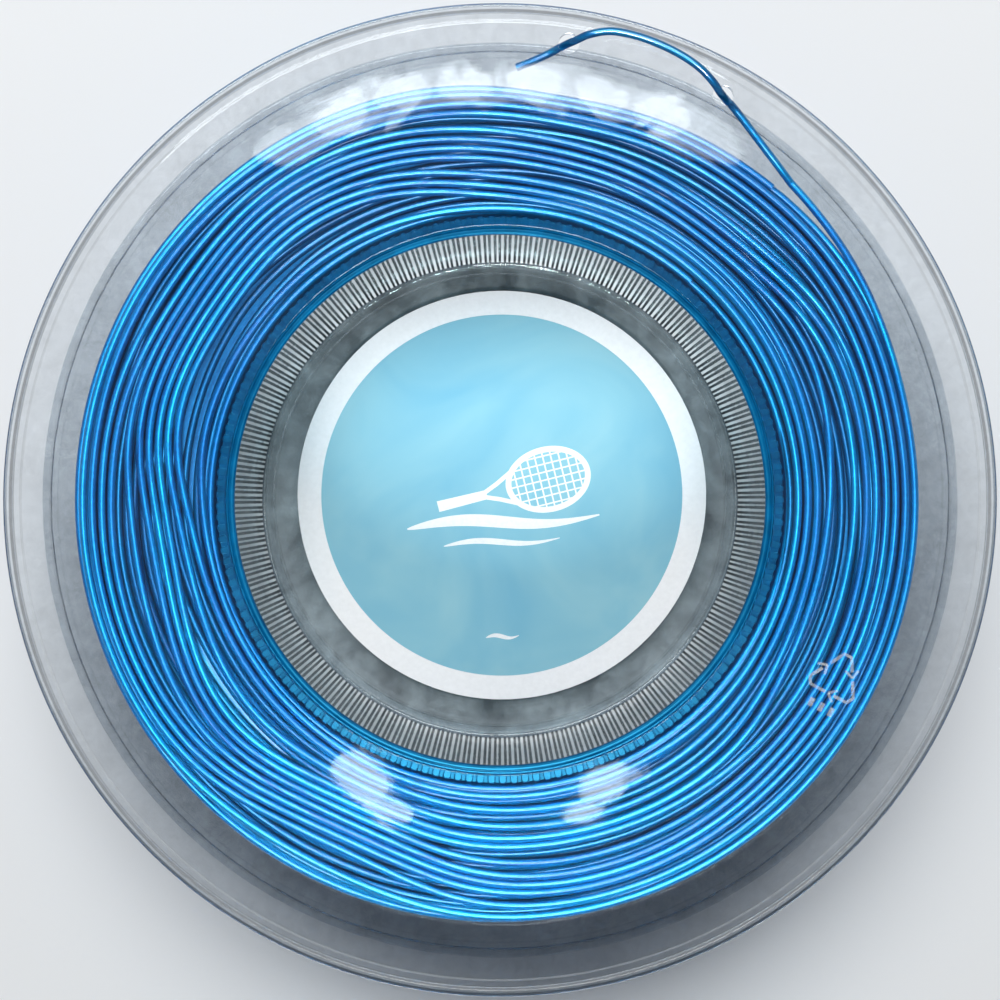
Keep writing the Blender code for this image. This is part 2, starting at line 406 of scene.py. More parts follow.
def print_material():
    """The label's watery sky-blue print, with soft paler and deeper clouds."""
    g = Graph("label_sky_print")
    water = g.noise(34.0, detail=3.0, roughness=0.5, distortion=1.6)
    broad = g.noise(14.0, detail=1.0, distortion=0.5)
    grain = g.noise(1600.0, detail=3.0)
    blend = g.math("ADD", g.math("MULTIPLY", water, 0.45), g.math("MULTIPLY", broad, 0.55))
    colour = g.ramp(
        blend,
        (
            (0.36, (0.160, 0.450, 0.600)),
            (0.50, (0.235, 0.525, 0.630)),
            (0.64, (0.330, 0.600, 0.660)),
        ),
    )
    g.set(Base_Color=colour, Roughness=g.range(grain, 0.48, 0.56), Normal=g.bump(grain, 0.06, 0.00001))
    return g.material


def ink_material():
    g = Graph("label_white_ink")
    grain = g.noise(1800.0, detail=3.0)
    shade = g.ramp(grain, ((0.3, (0.84, 0.87, 0.88)), (0.7, (0.92, 0.94, 0.94))))
    g.set(Base_Color=shade, Roughness=0.5)
    return g.material


def floor_material():
    g = Graph("floor_pale")
    g.set(Base_Color=(0.86, 0.86, 0.86, 1.0), Roughness=0.8)
    return g.material


# ---- mesh helpers -----------------------------------------------------------------------


def add_object(name, mesh, material, body, nodes=()):
    piece = bpy.data.objects.new(name, mesh)
    bpy.context.scene.collection.objects.link(piece)
    mesh.materials.append(material)
    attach(piece, body)
    if nodes:
        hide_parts(*nodes)
    return piece


def loft(name, rings, closed=False, cap_first=False, cap_last=False, sharp=35):
    """A mesh through rings of equal point counts, each joined to the next one."""
    count = len(rings[0])
    points = [point for ring in rings for point in ring]
    faces = []
    pairs = list(zip(range(len(rings)), range(1, len(rings))))
    if closed:
        pairs.append((len(rings) - 1, 0))
    for upper, lower in pairs:
        for i in range(count):
            j = (i + 1) % count
            faces.append((upper * count + i, lower * count + i, lower * count + j, upper * count + j))
    if cap_first:
        points.append(sum((Vector(p) for p in rings[0]), Vector()) / count)
        faces += [(len(points) - 1, i, (i + 1) % count) for i in range(count)]
    if cap_last:
        last = (len(rings) - 1) * count
        points.append(sum((Vector(p) for p in rings[-1]), Vector()) / count)
        faces += [(last + (i + 1) % count, last + i, len(points) - 1) for i in range(count)]
    mesh = bpy.data.meshes.new(name)
    mesh.from_pydata([tuple(p) for p in points], [], faces)
    mesh.shade_smooth()
    mesh.set_sharp_from_angle(angle=math.radians(sharp))
    return mesh


def on_bearing(radius, bearing, height):
    """The point at a radius and a bearing, in degrees from +Y towards +X."""
    angle = math.radians(bearing)
    return Vector((radius * math.sin(angle), radius * math.cos(angle), height))


def round_ring(radius, height, count):
    return [
        (radius * math.cos(TAU * i / count), radius * math.sin(TAU * i / count), height) for i in range(count)
    ]


def arc(centre, radii, start, end, steps):
    """Profile points (radius, height) of a quarter round, both ends included, in degrees."""
    points = []
    for step in range(steps + 1):
        angle = math.radians(start + (end - start) * step / steps)
        points.append((centre[0] + radii[0] * math.cos(angle), centre[1] + radii[1] * math.sin(angle)))
    return points


def lip_profile(face, outward):
    """The rim from the web's outer face round to its inner face, for a face that looks outward."""
    rise = 0.12 * MM  # of the shallow step
    inner_edge = RADIUS - LIP_WIDTH
    side = (LIP_WIDTH - LIP_FLAT) / 2
    lip = [(RADIUS - LIP_STEP - rise, face), (RADIUS - LIP_STEP + rise, face + outward * rise)]
    base = face + outward * rise
    lip += arc((inner_edge + side, base), (side, outward * (LIP_RISE - rise)), 180, 90, 2 * CORNER_STEPS)
    lip += arc((RADIUS - side, face), (side, outward * LIP_RISE), 90, 0, 2 * CORNER_STEPS)
    corner = (RADIUS - EDGE_ROUND, face - outward * (WEB - EDGE_ROUND))
    lip += arc(corner, (EDGE_ROUND, -outward * EDGE_ROUND), 0, 90, CORNER_STEPS)
    return lip


# ---- mouldings --------------------------------------------------------------------------

SUPPORT = 0.04 * MM  # from an edge to the extra ring that keeps the face beside it flat
FLANGE_FACETS = 288


def supported(profile):
    """The closed profile with a point near both ends of each long side, so that flat faces shade flat."""
    points = []
    for (r1, z1), (r2, z2) in zip(profile, profile[1:] + profile[:1]):
        points.append((r1, z1))
        length = math.hypot(r2 - r1, z2 - z1)
        if length > 12 * SUPPORT:
            share = SUPPORT / length
            points.append((r1 + (r2 - r1) * share, z1 + (z2 - z1) * share))
            points.append((r2 - (r2 - r1) * share, z2 - (z2 - z1) * share))
    return points


def make_front_flange(material, opening_painted_blue):
    soft = 0.2 * MM
    reach = HOLE_RADIUS + 0.2 * MM
    profile = arc((FRONT_OPENING + soft, FRONT_FACE - soft), (soft, soft), 180, 90, 3)
    profile += [(HOLE_CIRCLE - reach, FRONT_FACE), (HOLE_CIRCLE + reach, FRONT_FACE)]
    profile += lip_profile(FRONT_FACE, 1)
    profile += [(HOLE_CIRCLE + reach, FRONT_INNER), (HOLE_CIRCLE - reach, FRONT_INNER)]
    profile += [(FRONT_OPENING, FRONT_INNER)]
    rings = [round_ring(r, z, FLANGE_FACETS) for r, z in supported(profile)]
    mesh = loft("front_flange_clear", rings, closed=True)
    flange = add_object("front_flange_clear", mesh, material, WOUND_BODY, ["front_flange"])
    for bearing in HOLE_BEARINGS:
        cutter = loft(
            "cutter",
            [round_ring(HOLE_RADIUS, z, 40) for z in (FRONT_CREST + MM, FRONT_INNER - MM)],
            cap_first=True,
            cap_last=True,
        )
        tool = bpy.data.objects.new("cutter", cutter)
        tool.location = on_bearing(HOLE_CIRCLE, bearing, 0.0)
        bpy.context.scene.collection.objects.link(tool)
        apply_cut(flange, tool)
    flange.data.shade_smooth()
    flange.data.set_sharp_from_angle(angle=math.radians(35))
    # The faces round the opening take the ribs' painted blue shade.
    flange.data.materials.append(opening_painted_blue)
    for face in flange.data.polygons:
        if math.hypot(face.center.x, face.center.y) < FRONT_OPENING + 0.5 * SUPPORT:
            face.material_index = 1


def apply_cut(piece, tool):
    boolean = piece.modifiers.new("Cut", "BOOLEAN")
    boolean.operation = "DIFFERENCE"
    boolean.solver = "EXACT"
    boolean.object = tool
    graph = bpy.context.evaluated_depsgraph_get()
    mesh = bpy.data.meshes.new_from_object(piece.evaluated_get(graph))
    piece.modifiers.clear()
    piece.data = mesh
    bpy.data.objects.remove(tool)


def make_back_flange(material):
    profile = [(COLLAR_BORE, COLLAR_TOP)]
    corner = (COLLAR_OUTER - EDGE_ROUND, COLLAR_TOP - EDGE_ROUND)
    profile += arc(corner, (EDGE_ROUND, EDGE_ROUND), 90, 0, CORNER_STEPS)
    profile += [(COLLAR_OUTER, BACK_INNER)]
    profile += reversed(lip_profile(BACK_FACE, -1))
    profile += [(COLLAR_BORE + EDGE_ROUND, BACK_FACE), (COLLAR_BORE, BACK_FACE + EDGE_ROUND)]
    rings = [round_ring(r, z, FLANGE_FACETS) for r, z in supported(profile)]
    mesh = loft("back_flange_clear", rings, closed=True)
    add_object("back_flange_clear", mesh, material, BACK_BODY, ["back_flange"])


def ribbed_ring(root, tip, height):
    """One turn of the core's outline, with softly rounded ribs between root and tip."""
    pitch = TAU / RIB_COUNT
    half = pitch * RIB_SHARE / 2
    soft = 0.12 * MM / tip
    shape = (
        (-half - soft, 0.0),
        (-half, 0.15),
        (-half + soft * 0.5, 0.9),
        (-half + soft * 2.0, 1.0),
        (half - soft * 2.0, 1.0),
        (half - soft * 0.5, 0.9),
        (half, 0.15),
        (half + soft, 0.0),
    )
    ring = []
    for rib in range(RIB_COUNT):
        for offset, share in shape:
            angle = rib * pitch + offset
            radius = root + (tip - root) * share
            ring.append((radius * math.cos(angle), radius * math.sin(angle), height))
    return ring


def flute_ring(radius, depth, height):
    """One turn of the cup's inner wall, with a shallow groove behind each rib."""
    ring = []
    for x, y, _ in ribbed_ring(1.0, 1.0, 0.0):
        bearing = math.atan2(y, x)
        r = radius + depth * 0.5 * (1.0 - math.cos(RIB_COUNT * bearing))
        ring.append((r * math.cos(bearing), r * math.sin(bearing), height))
    return ring


CLEAR, WALL, RIBBED = 0, 1, 2  # the core's materials, in the order of its slots


def band_material(first, second):
    """Material of the faces between two rings: the wall wins over the ribs' painted blue, and clear over
    both.
    """
    if WALL in (first, second) and CLEAR not in (first, second):
        return WALL
    return min(first, second)


def make_core(material, wall, ribs):
    ribs_end = FRONT_INNER - GAP
    bottom = CORE_LOW.z
    bevel = 0.2 * MM
    soft = 0.35 * MM
    flute = 0.22 * MM
    web_root = RIB_TIP - 0.15 * MM  # a thin web joins the ribs just below the front flange
    web_low, web_high = ribs_end - 1.3 * MM, ribs_end - 0.8 * MM
    web_slope = 0.05 * MM
    angles = [math.atan2(y, x) for x, y, _ in ribbed_ring(RIB_ROOT, RIB_ROOT, 0.0)]

    def plain(radius, height):
        return [(radius * math.cos(a), radius * math.sin(a), height) for a in angles]

    outside = (
        (RIB_ROOT, RIB_TIP - bevel, bottom),
        (RIB_ROOT, RIB_TIP, bottom + bevel),
        (RIB_ROOT, RIB_TIP, web_low - web_slope),
        (web_root, RIB_TIP, web_low),
        (web_root, RIB_TIP, web_high),
        (RIB_ROOT, RIB_TIP, web_high + web_slope),
        (RIB_ROOT, RIB_TIP, ribs_end - bevel),
        (RIB_ROOT, RIB_TIP - bevel, ribs_end),
        (RIB_ROOT, SPIGOT, ribs_end),
        (RIB_ROOT, SPIGOT, FRONT_FACE - soft),
    )
    rim = arc((SPIGOT - soft, FRONT_FACE - soft), (soft, soft), 15, 90, CORNER_STEPS)
    rim += arc((MOUTH + soft, FRONT_FACE - soft), (soft, soft), 90, 180, CORNER_STEPS)
    wall_top = FRONT_FACE - 0.5 * MM
    wall_foot = FLOOR_TOP + 0.9 * MM
    floor_corner = (FLOOR_RADIUS - EDGE_ROUND, FLOOR_TOP + EDGE_ROUND)
    floor_round = arc(floor_corner, (EDGE_ROUND, -EDGE_ROUND), 0, 90, CORNER_STEPS)
    rings = [(CLEAR, plain(SKIRT, FLOOR_TOP - FLOOR)), (CLEAR, plain(SKIRT, bottom))]
    rings += [(RIBBED, ribbed_ring(root, tip, height)) for root, tip, height in outside]
    rings += [(RIBBED, plain(radius, height)) for radius, height in rim]
    rings += [(RIBBED, plain(MOUTH - 0.01 * MM, wall_top))]
    rings += [(WALL, flute_ring(MOUTH - 0.03 * MM, flute, wall_top - 0.3 * MM))]
    rings += [(WALL, flute_ring(FLOOR_RADIUS + 0.02 * MM, flute, wall_foot + 0.5 * MM))]
    rings += [(WALL, plain(FLOOR_RADIUS + 0.02 * MM, wall_foot))]
    rings += [(CLEAR, plain(radius, height)) for radius, height in floor_round]
    rings += [(CLEAR, plain(FLOOR_RADIUS - EDGE_ROUND - SUPPORT, FLOOR_TOP))]
    rings = rings[::-1]
    mesh = loft("core_cup_clear", [ring for _, ring in rings], cap_first=True, cap_last=True, sharp=40)
    add_object("core_cup_clear", mesh, material, WOUND_BODY, ["core_cup"])
    for extra in (wall, ribs):
        mesh.materials.append(extra)
    count = len(angles)
    for band, (zone, _) in enumerate(rings[:-1]):
        for face in range(band * count, (band + 1) * count):
            mesh.polygons[face].material_index = band_material(zone, rings[band + 1][0])


# ---- string -----------------------------------------------------------------------------

ROUTE_STEPS = 40  # fine steps between two points of a route


def smooth_route(points, spacing):
    """Evenly spaced points on a smooth curve through the given ones."""
    padded = [2 * points[0] - points[1], *points, 2 * points[-1] - points[-2]]
    fine = []
    for before, start, end, after in zip(padded, padded[1:], padded[2:], padded[3:]):
        for step in range(ROUTE_STEPS):
            t = step / ROUTE_STEPS
            fine.append(
                0.5
                * (
                    2 * start
                    + (end - before) * t
                    + (2 * before - 5 * start + 4 * end - after) * t**2
                    + (3 * start - before - 3 * end + after) * t**3
                )
            )
    fine.append(points[-1])
    lengths = np.concatenate([[0.0], np.cumsum([(b - a).length for a, b in zip(fine, fine[1:])])])
    wanted = np.linspace(0.0, lengths[-1], round(lengths[-1] / spacing) + 1)
    columns = [np.interp(wanted, lengths, [p[axis] for p in fine]) for axis in range(3)]
    return [Vector(p) for p in zip(*columns)], float(lengths[-1])


def make_tail(material):
    route = [on_bearing(radius * MM, bearing, height * MM) for radius, bearing, height in TAIL_ROUTE]
    points, length = smooth_route(route, 0.6 * MM)
    curve = bpy.data.curves.new("string_end", "CURVE")
    curve.dimensions = "3D"
    curve.bevel_depth = STRING_RADIUS
    curve.bevel_resolution = 4
    curve.use_fill_caps = True
    spline = curve.splines.new("POLY")
    spline.points.add(len(points) - 1)
    for point, place in zip(spline.points, points):
        point.co = (*place, 1.0)
    spline.use_smooth = True
    tail = bpy.data.objects.new("string_end", curve)
    bpy.context.scene.collection.objects.link(tail)
    curve.materials.append(material)
    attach(tail, WOUND_BODY)
    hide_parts("string_tail")


def tube(path, sides):
    """Points and faces of the string along a path that goes round the reel's axis."""
    along = np.gradient(path, axis=0)
    along /= np.linalg.norm(along, axis=1)[:, None]
    side = np.cross(along, (0.0, 0.0, 1.0))
    side /= np.linalg.norm(side, axis=1)[:, None]
    up = np.cross(side, along)
    turn = np.arange(sides) * TAU / sides
    points = (
        path[:, None, :]
        + STRING_RADIUS * np.cos(turn)[None, :, None] * side[:, None, :]
        + STRING_RADIUS * np.sin(turn)[None, :, None] * up[:, None, :]
    ).reshape(-1, 3)
    row, column = np.meshgrid(np.arange(len(path) - 1), np.arange(sides), indexing="ij")
    next_column = (column + 1) % sides
    corners = (
        row * sides + column,
        (row + 1) * sides + column,
        (row + 1) * sides + next_column,
        row * sides + next_column,
    )
    return points, np.stack(corners, axis=-1).reshape(-1, 4)


def wound_string(name, path, sides, material):
    """One piece of string in the winding."""
    points, faces = tube(path, sides)
    mesh = bpy.data.meshes.new(name)
    mesh.from_pydata(points.tolist(), [], faces.tolist())
    mesh.shade_smooth()
    add_object(name, mesh, material, WOUND_BODY, ["string_coil"])


SEGMENTS = 240
TOP_TURNS = 11  # turns that lie loose on a face
UNDER_TURNS = 14  # turns of the layer below
SEAM = math.radians(TAIL_ROUTE[0][1])  # bearing where the string leaves the winding
LAYER_DROP = 1.42 * MM  # from a face's turns down to the layer below
FACE_SAG = 0.16 * MM  # how unevenly a face's turns lie
UNDER_SAG = 0.10 * MM
OUTER_FALL = 0.70 * MM  # how far a face's outermost turns sink below it
INNER_FALL = 0.45 * MM
TUCK = 1.9 * MM  # how far a face's string dips at its ends
TURN_PITCH = 1.30 * MM  # from turn to turn in the barrel's layers
LAYER_MARGIN = 1.35 * MM  # from the winding's faces to the barrel's first turns
BODY_DEPTH = 3.6 * MM  # from the winding's faces to the plain body inside it
BODY_FROM_RIBS = 2.0 * MM
BODY_FROM_EDGE = 5.0 * MM


def turn_angles():
    return SEAM + np.arange(SEGMENTS) * TAU / SEGMENTS


def apart(angle, centre):
    """Signed difference of two angles."""
    return (angle - centre + math.pi) % TAU - math.pi


def outline(bearing):
    """Outer radius of the winding at a bearing in radians.

    It is fuller near and left, and beside the string's end, with a dent on the far side.
    """
    swell = 0.70 * np.cos(bearing - math.radians(235.0)) + 0.28 * np.cos(2 * bearing - math.radians(250.0))
    dent = 1.15 * np.exp(-((apart(bearing, math.radians(10.0)) / 0.24) ** 2))
    bulge = 0.95 * np.exp(-((apart(bearing, math.radians(57.0)) / 0.30) ** 2))
    return COIL_RADIUS + (swell - 0.45 - dent + bulge) * MM


def shares(seed, count, angle):
    """How the free width is shared between the turns: mostly nothing, here and there a wide gap."""
    chance = random.Random(seed)
    rows = []
    for _ in range(count):
        row = np.full(len(angle), 0.012)
        for _ in range(chance.choice((1, 2, 2))):
            centre = chance.uniform(0.0, TAU)
            width = math.radians(chance.uniform(13.0, 32.0))
            row = row + chance.uniform(0.3, 1.0) ** 2 * np.exp(-((apart(angle, centre) / width) ** 2))
        rows.append(row)
    rows = np.array(rows)
    return rows / rows.sum(axis=0)


def sum_before(steps):
    """The sum of the rows above each row."""
    return np.concatenate([np.zeros((1, steps.shape[1])), np.cumsum(steps, axis=0)[:-1]])


def spiral(seed, count, inner, outer, sense):
    """Radius of each turn at each bearing, the turns side by side and never through each other."""
    angle = turn_angles()
    free = outer - inner - STRING - STRING * count
    steps = STRING + shares(seed, count, angle) * free
    starts = inner + STRING_RADIUS + sum_before(steps)
    progress = np.arange(len(angle)) / len(angle)
    if sense < 0:
        progress = 1.0 - progress
    return starts + steps * progress


def waves(seed, angle, orders):
    """A smooth random wave round the reel."""
    chance = random.Random(seed)
    total = np.zeros(len(angle))
    for order in orders:
        share = chance.uniform(0.5, 1.0) / order**0.5
        phase = chance.uniform(0.0, TAU)
        total = total + share * np.cos(order * angle + phase)
    return total / math.sqrt(len(orders))


def turn_after_turn(radii, heights, angle, sense=1):
    """Points along a string whose turns have the given rows of radii and heights."""
    xs = [(radius * np.sin(angle))[::sense] for radius in radii]
    ys = [(radius * np.cos(angle))[::sense] for radius in radii]
    zs = [height[::sense] for height in heights]
    return np.stack([np.concatenate(xs), np.concatenate(ys), np.concatenate(zs)], axis=1)


def face_layer(name, material, seed, level, inward, inner, outer, sag, sides, sense, count, leaves=None):
    """One layer of turns lying in a face of the winding, as one unbroken string."""
    angle = turn_angles()
    radii = spiral(seed, count, inner, outer, sense)
    heights = []
    for turn in range(count):
        drop = sag * (0.5 + 0.5 * waves(seed + turn, angle, (1, 2, 3, 5)))
        edge = (radii[turn] - inner) / (outer - inner)
        drop = drop + OUTER_FALL * np.clip((edge - 0.90) / 0.10, 0.0, 1.0) ** 1.6
        drop = drop + INNER_FALL * np.clip((0.08 - edge) / 0.08, 0.0, 1.0)
        heights.append(level - inward * drop)
    path = turn_after_turn(radii, heights, angle, sense)
    path[:, 2] = smooth_along(path[:, 2], 11)
    tuck_ends(path, inward)
    if leaves:
        lead_out(path, leaves)
    wound_string(name, path, sides, material)


def tuck_ends(path, inward):
    """Bends both ends of a face's string down out of sight, as where it goes on to the next layer."""
    reach = SEGMENTS // 8
    for step in range(reach):
        sink = (1.0 - step / reach) ** 2
        for row in (step, len(path) - 1 - step):
            path[row, 2] -= inward * TUCK * sink


def lead_out(path, target):
    """Bends the last part of the string out to where its free end begins."""
    reach = SEGMENTS // 10
    gap = np.array(target) - path[-1]
    for step in range(reach):
        path[len(path) - 1 - step] += gap * (1.0 - step / reach) ** 2


def smooth_along(values, width):
    """A running mean that keeps the length."""
    kernel = np.ones(width) / width
    padded = np.concatenate([np.full(width // 2, values[0]), values, np.full(width // 2, values[-1])])
    return np.convolve(padded, kernel, mode="valid")


def make_winding(material, shaded_material):
    edge = outline(turn_angles())
    inner = COIL_INNER + 0.02 * MM
    top = COIL_TOP - STRING_RADIUS - 0.01 * MM
    bottom = COIL_BOTTOM + STRING_RADIUS + 0.01 * MM
    radius, bearing, height = TAIL_ROUTE[0]
    end = on_bearing(radius * MM, bearing, height * MM)
    for name, level, inward, seed, leaves in (("front", top, 1, 11, end), ("back", bottom, -1, 47, None)):
        face_layer(
            f"winding_{name}_face",
            material,
            seed,
            level=level,
            inward=inward,
            inner=inner,
            outer=edge,
            sag=FACE_SAG,
            sides=12,
            sense=-1,
            count=TOP_TURNS,
            leaves=leaves,
        )
        face_layer(
            f"winding_{name}_under",
            shaded_material,
            seed + 100,
            level=level - inward * LAYER_DROP,
            inward=inward,
            inner=inner + 0.05 * MM,
            outer=edge - 0.30 * MM,
            sag=UNDER_SAG,
            sides=10,
            sense=1,
            count=UNDER_TURNS,
        )
    make_barrel(material, shaded_material, edge, inner)
    make_winding_body(shaded_material)


def make_barrel(material, shaded_material, edge, inner):
    """The layers of turns on the winding's outside and next to the core's ribs."""
    low = COIL_BOTTOM + LAYER_MARGIN
    high = COIL_TOP - LAYER_MARGIN
    angle = turn_angles()
    turns = int((high - low) / TURN_PITCH)
    for name, radius, seed, wander, sides, shade in (
        ("winding_outer_layer", edge - STRING_RADIUS - 0.12 * MM, 5, 0.12 * MM, 10, material),
        ("winding_second_layer", edge - STRING_RADIUS - 1.35 * MM, 9, 0.06 * MM, 8, shaded_material),
        ("winding_inner_layer", inner + STRING_RADIUS + 0.06 * MM, 13, 0.03 * MM, 8, material),
    ):
        free = (high - low) - STRING * turns
        steps = STRING + shares(seed, turns, angle) * free
        levels = low + sum_before(steps)
        levels = levels + steps * np.arange(len(angle)) / len(angle)
        radii = []
        for turn in range(turns):
            unevenness = waves(seed + turn, angle, (1, 2, 4))
            radii.append(radius - wander * (1.0 + unevenness))
        path = turn_after_turn(radii, levels, angle)
        wound_string(name, path, sides, shade)


def make_winding_body(material):
    """The plain body that fills the winding behind its layers of turns."""
    inner = COIL_INNER + BODY_FROM_RIBS
    outer = COIL_RADIUS - BODY_FROM_EDGE
    top = COIL_TOP - BODY_DEPTH
    bottom = COIL_BOTTOM + BODY_DEPTH
    profile = ((inner, top), (outer, top), (outer, bottom), (inner, bottom))
    mesh = loft("winding_body", [round_ring(r, z, 96) for r, z in profile], closed=True)
    add_object("winding_body", mesh, material, WOUND_BODY, ["string_coil"])


# ---- label ------------------------------------------------------------------------------

PRINT_SHARE = 29.6 / 33.5  # the blue print's radius over the paper's
INK_DEPTH = 0.02 * MM
LABEL_FACETS = 192


def disc(name, radius, low, high, material, nodes=()):
    rings = [round_ring(radius, high, LABEL_FACETS), round_ring(radius, low, LABEL_FACETS)]
    mesh = loft(name, rings, cap_first=True, cap_last=True)
    return add_object(name, mesh, material, WOUND_BODY, nodes)


def ribbon(path, widths):
    """Outline of a stroke of changing width along a flat path."""
    left, right = [], []
    for i, (x, y) in enumerate(path):
        x0, y0 = path[max(i - 1, 0)]
        x1, y1 = path[min(i + 1, len(path) - 1)]
        length = math.hypot(x1 - x0, y1 - y0)
        nx, ny = -(y1 - y0) / length, (x1 - x0) / length
        half = widths[i] / 2
        left.append((x + nx * half, y + ny * half))
        right.append((x - nx * half, y - ny * half))
    return left, right


def stroke_mesh(bm, path, widths, low, high, closed=False):
    """Adds a flat-topped stroke between two heights."""
    left, right = ribbon(path, widths)
    rows = []
    for (lx, ly), (rx, ry) in zip(left, right):
        rows.append(
            [
                bm.verts.new((lx, ly, low)),
                bm.verts.new((lx, ly, high)),
                bm.verts.new((rx, ry, high)),
                bm.verts.new((rx, ry, low)),
            ]
        )
    pairs = list(zip(rows, rows[1:]))
    if closed:
        pairs.append((rows[-1], rows[0]))
    for a, b in pairs:
        for i in range(4):
            j = (i + 1) % 4
            bm.faces.new((a[i], a[j], b[j], b[i]))
    if not closed:
        bm.faces.new(rows[0][::-1])
        bm.faces.new(rows[-1])


def tapered(count, width, thin=0.12):
    """Widths of a brush stroke, thin at both ends and fullest before its middle."""
    widths = []
    for i in range(count):
        t = i / (count - 1)
        widths.append(width * (thin + (1.0 - thin) * math.sin(math.pi * t**0.8) ** 0.9))
    return widths


def brush_wave(start, length, rise, lean, count):
    points = []
    for i in range(count):
        t = i / (count - 1)
        x = start[0] + length * t
        y = start[1] + lean * t + rise * math.sin(TAU * t)
        points.append((x, y))
    return points


def finish_strokes(bm, name, material):
    bmesh.ops.recalc_face_normals(bm, faces=bm.faces)
    mesh = bpy.data.meshes.new(name)
    bm.to_mesh(mesh)
    bm.free()
    mesh.shade_smooth()
    mesh.set_sharp_from_angle(angle=math.radians(40))
    return add_object(name, mesh, material, WOUND_BODY, ())


def racket_strokes(bm, centre, tilt, low, high):
    """A small racket: head, strings, throat and grip, each at its own height so that none coincide."""
    lower = (high - low) / 12
    along = (math.cos(tilt), math.sin(tilt))

    def place(x, y):
        return (centre[0] + x * along[0] - y * along[1], centre[1] + x * along[1] + y * along[0])

    long_half, short_half = 6.6 * MM, 4.9 * MM
    head = []
    for degrees in range(0, 360, 5):
        angle = math.radians(degrees)
        head.append(place(long_half * math.cos(angle), short_half * math.sin(angle)))
    stroke_mesh(bm, head, [0.95 * MM] * len(head), low, high, closed=True)
    for row in range(-3, 4):
        y = row * 1.3 * MM
        reach = long_half * math.sqrt(1.0 - (y / short_half) ** 2) - 0.45 * MM
        stroke_mesh(bm, [place(-reach, y), place(reach, y)], [0.24 * MM] * 2, low, high - lower)
    for column in range(-4, 5):
        x = column * 1.3 * MM
        reach = short_half * math.sqrt(1.0 - (x / long_half) ** 2) - 0.45 * MM
        stroke_mesh(bm, [place(x, -reach), place(x, reach)], [0.24 * MM] * 2, low, high - 2 * lower)
    for side in (1, -1):
        bends = ((-5.6, 2.7), (-8.4, 1.3), (-10.6, 0.4))
        throat = [place(x * MM, side * y * MM) for x, y in bends]
        stroke_mesh(bm, throat, [0.7 * MM] * 3, low, high - (3.5 + 0.5 * side) * lower)
    grip = [place(-10.4 * MM, 0.0), place(-18.6 * MM, 0.0)]
    stroke_mesh(bm, grip, [1.5 * MM, 1.8 * MM], low, high - 5 * lower)


def make_label(paper, sky, ink):
    top = LABEL_HIGH.z
    shift = Vector((0.3 * MM, 0.8 * MM, 0.0))  # the label is stuck a little off centre
    sheet = disc("label_paper", LABEL_RADIUS, LABEL_LOW.z, top - 2 * INK_DEPTH, paper, nodes=["front_label"])
    colour = disc("label_sky_print", LABEL_RADIUS * PRINT_SHARE, top - 2 * INK_DEPTH, top - INK_DEPTH, sky)
    bm = bmesh.new()
    low, high = top - 1.4 * INK_DEPTH, top - 0.1 * INK_DEPTH
    racket_strokes(bm, (7.6 * MM, 2.6 * MM), math.radians(14.0), low, high)
    for start, length, rise, lean, width in (
        ((-15.5, -5.6), 31.5, 0.8, 2.4, 2.0),
        ((-9.5, -8.4), 19.0, 0.5, 1.4, 1.0),
        ((-2.6, -23.4), 5.4, 0.3, 0.4, 0.7),
    ):
        path = brush_wave((start[0] * MM, start[1] * MM), length * MM, rise * MM, lean * MM, 40)
        stroke_mesh(bm, path, tapered(len(path), width * MM), low, high)
    mark = finish_strokes(bm, "label_racket_mark", ink)
    for piece in (sheet, colour, mark):
        piece.location = shift


def corner_arrow(size, turn):
    """Path of one bent arrow round a corner of a triangle that stands round the origin."""
    corner = math.radians(turn)
    before, after = corner + math.radians(120.0), corner - math.radians(120.0)
    points = []
    for start, end, low, high in ((before, corner, 0.56, 0.86), (corner, after, 0.14, 0.40)):
        for step in range(4):
            t = low + (high - low) * step / 3
            x = size * (math.cos(start) * (1 - t) + math.cos(end) * t)
            y = size * (math.sin(start) * (1 - t) + math.sin(end) * t)
            points.append((x, y))
    return points


def make_moulded_mark(material):
    """A small raised triangle of bent arrows on the front flange, with three short bars below it."""
    bm = bmesh.new()
    low, high = FRONT_FACE - 0.05 * MM, FRONT_FACE + 0.25 * MM
    line = 0.50 * MM
    for turn in (90.0, 210.0, 330.0):
        bend = corner_arrow(5.0 * MM, turn)
        stroke_mesh(bm, bend, [line] * len(bend), low, high)
        (x0, y0), (x1, y1) = bend[-2], bend[-1]
        length = math.hypot(x1 - x0, y1 - y0)
        ux, uy = (x1 - x0) / length, (y1 - y0) / length
        tip = (x1 + 0.9 * MM * ux, y1 + 0.9 * MM * uy)
        for side in (1, -1):
            end = (tip[0] - (1.15 * ux - side * 1.0 * uy) * MM, tip[1] - (1.15 * uy + side * 1.0 * ux) * MM)
            stroke_mesh(bm, [tip, end], [line * 0.8, line * 0.8], low, high)
    for row in range(3):
        offset = (row - 1) * 1.7 * MM
        stroke_mesh(bm, [(offset, -5.6 * MM), (offset, -4.2 * MM)], [line * 1.5] * 2, low, high)
    mark = finish_strokes(bm, "flange_moulded_mark", material)
    mark.location = on_bearing(58.2 * MM, 118.0, 0.0)
    mark.rotation_euler = (0.0, 0.0, math.radians(-28.0))


# ---- stage ------------------------------------------------------------------------------

MIRROR_DISTANCE = 0.82  # of the lamps that show as reflections
COOL_WHITE = (0.97, 0.99, 1.0)


def make_floor():
    bpy.ops.mesh.primitive_plane_add(size=6.0, location=(0.0, 0.0, BACK_CREST - 0.02 * MM))
    floor = bpy.context.active_object
    floor.name = "floor"
    floor.data.materials.append(floor_material())


def aim(lamp, target):
    lamp.rotation_euler = (Vector(target) - lamp.location).to_track_quat("-Z", "Y").to_euler()


